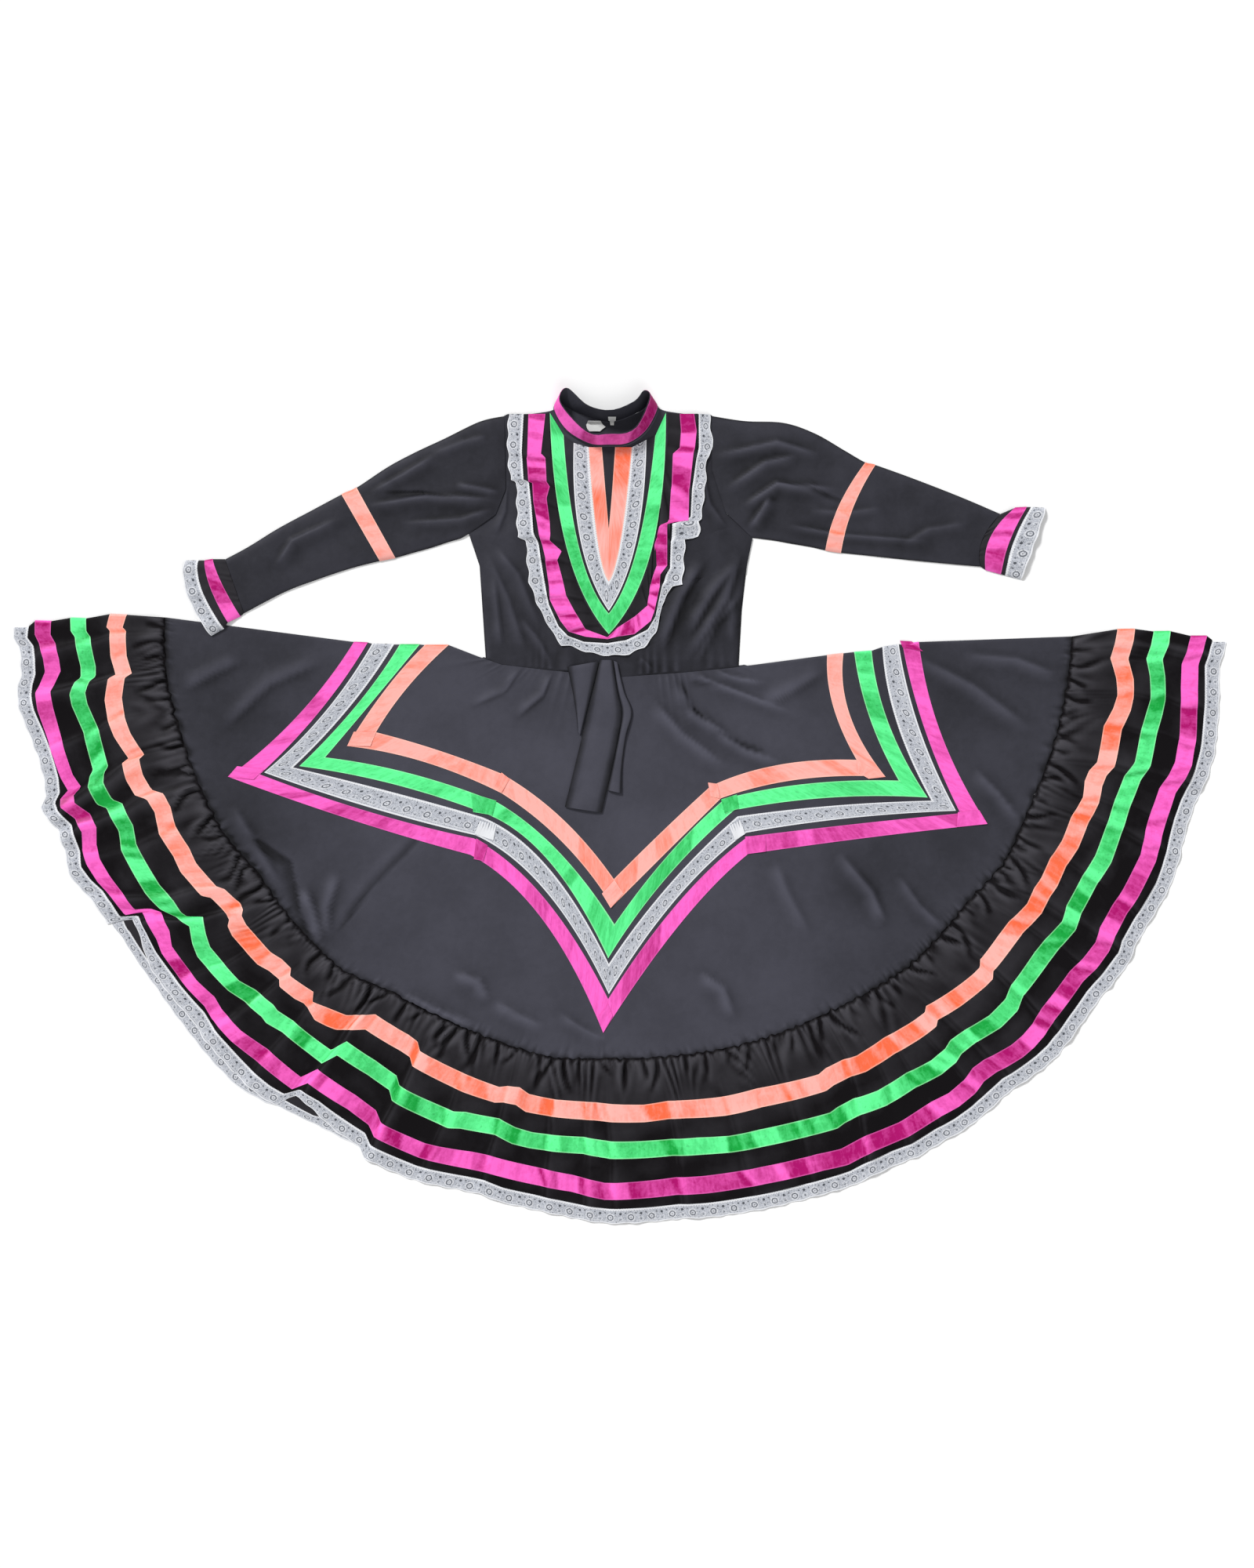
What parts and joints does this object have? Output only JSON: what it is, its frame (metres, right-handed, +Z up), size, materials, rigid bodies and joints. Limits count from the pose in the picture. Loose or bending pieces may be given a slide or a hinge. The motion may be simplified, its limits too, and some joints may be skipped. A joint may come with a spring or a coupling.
{
  "type": "folklorico dress",
  "caption": "Long-sleeved folk-dance dress laid flat: stand collar, ruffled yoke, sash tails and a spread full skirt with ribbon bands, lace and a gathered hem ruffle.",
  "frame": {"origin": "centre of the bounding box in plan, on the floor that the dress lies on", "axes": "+X to the right as seen from above, +Y towards the collar, +Z up from the floor"},
  "size_m": [1.9355, 1.3293, 0.03],
  "materials": {
    "cloth": "matt black cotton poplin",
    "coral_satin": "bright coral satin ribbon",
    "green_satin": "bright green satin ribbon",
    "magenta_satin": "bright magenta satin ribbon",
    "lace": "white scalloped lace",
    "label": "blank white woven label"
  },
  "bodies": {
    "root": {"skirt_back": "cloth", "skirt_front": "cloth", "skirt_ribbon_coral": "coral_satin", "skirt_ribbon_green": "green_satin", "skirt_lace": "lace", "skirt_ribbon_magenta": "magenta_satin", "hem_ruffle_back": "cloth", "hem_ruffle_front": "cloth", "hem_ribbon_coral": "coral_satin", "hem_ribbon_green": "green_satin", "hem_ribbon_magenta": "magenta_satin", "hem_lace_front": "lace", "hem_lace_back": "lace", "bodice_back": "cloth", "bodice_front": "cloth", "yoke_ribbon_coral": "coral_satin", "yoke_lace": "lace", "yoke_ribbon_green": "green_satin", "chest_ruffle": "cloth", "chest_ribbon": "magenta_satin", "chest_lace": "lace", "sleeve_left": "cloth", "sleeve_right": "cloth", "sleeve_ribbon_left": "coral_satin", "sleeve_ribbon_right": "coral_satin", "cuff_ruffle_left": "cloth", "cuff_ruffle_right": "cloth", "cuff_ribbon_left": "magenta_satin", "cuff_ribbon_right": "magenta_satin", "cuff_lace_left": "lace", "cuff_lace_right": "lace", "collar": "cloth", "collar_ribbon": "magenta_satin", "sash_tail_front": "cloth", "sash_tail_rear": "cloth", "sash_tail_left": "cloth", "neck_label_large": "label", "neck_label_small": "label"}
  },
  "joints": []
}
